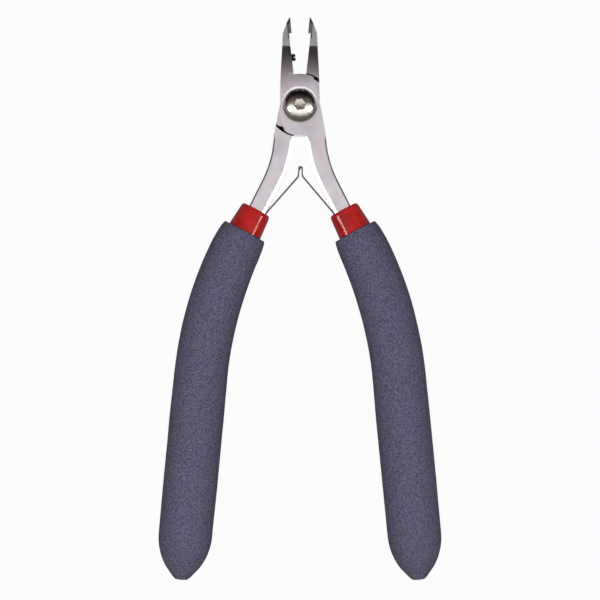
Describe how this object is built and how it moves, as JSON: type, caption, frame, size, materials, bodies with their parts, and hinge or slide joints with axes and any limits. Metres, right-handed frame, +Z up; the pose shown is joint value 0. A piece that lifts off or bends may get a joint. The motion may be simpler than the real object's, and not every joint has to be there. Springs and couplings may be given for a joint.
{
  "type": "sprue nippers",
  "caption": "Small hand cutters with angled tips, a lap joint, two leaf springs and long bowed foam handles, lying open.",
  "frame": {"origin": "centre of the box around the open tool, on the surface that the grips lie on", "axes": "+Y from the grips to the tips, +Z up through the face that has the pivot screw's head, +X towards the handle of the front lever"},
  "size_m": [0.078, 0.1539, 0.015],
  "materials": {
    "steel": "satin ground tool steel",
    "screw_steel": "polished steel",
    "black_steel": "black oxide",
    "spring_steel": "satin spring strip",
    "red_plastic": "glossy dipped plastic",
    "foam": "matt closed-cell foam with a fine speckle"
  },
  "bodies": {
    "back_side": {"back_lever": "steel", "pivot_screw": "screw_steel", "pivot_washer": "screw_steel", "left_inner_sleeve": "red_plastic", "left_foam_grip": "foam", "left_spring_foot": "spring_steel", "left_spring_rivet": "spring_steel"},
    "front_side": {"front_lever": "steel", "stop_screw": "black_steel", "right_inner_sleeve": "red_plastic", "right_foam_grip": "foam", "right_spring_foot": "spring_steel", "right_spring_rivet": "spring_steel"},
    "left_spring": {"left_spring_leaf": "spring_steel"},
    "right_spring": {"right_spring_leaf": "spring_steel"}
  },
  "joints": [
    {"name": "lever_pivot", "type": "hinge", "parent": "back_side", "child": "front_side", "pos_m": [0, 0.05341, 0.0075], "axis": [0, 0, -1], "range_deg": [0, 13], "stiffness_Nm_per_rad": 1.5, "springref_deg": -5.73},
    {"name": "left_spring_flex", "type": "hinge", "parent": "back_side", "child": "left_spring", "pos_m": [-0.00913, 0.02396, 0.0075], "axis": [0, 0, 1], "range_deg": [0, 9.7]},
    {"name": "right_spring_flex", "type": "hinge", "parent": "front_side", "child": "right_spring", "pos_m": [0.00913, 0.02396, 0.0075], "axis": [0, 0, -1], "range_deg": [0, 9.7]}
  ],
  "couplings": [
    {"joint": "left_spring_flex", "follows": "lever_pivot", "ratio": 0.73},
    {"joint": "right_spring_flex", "follows": "lever_pivot", "ratio": 0.73}
  ]
}
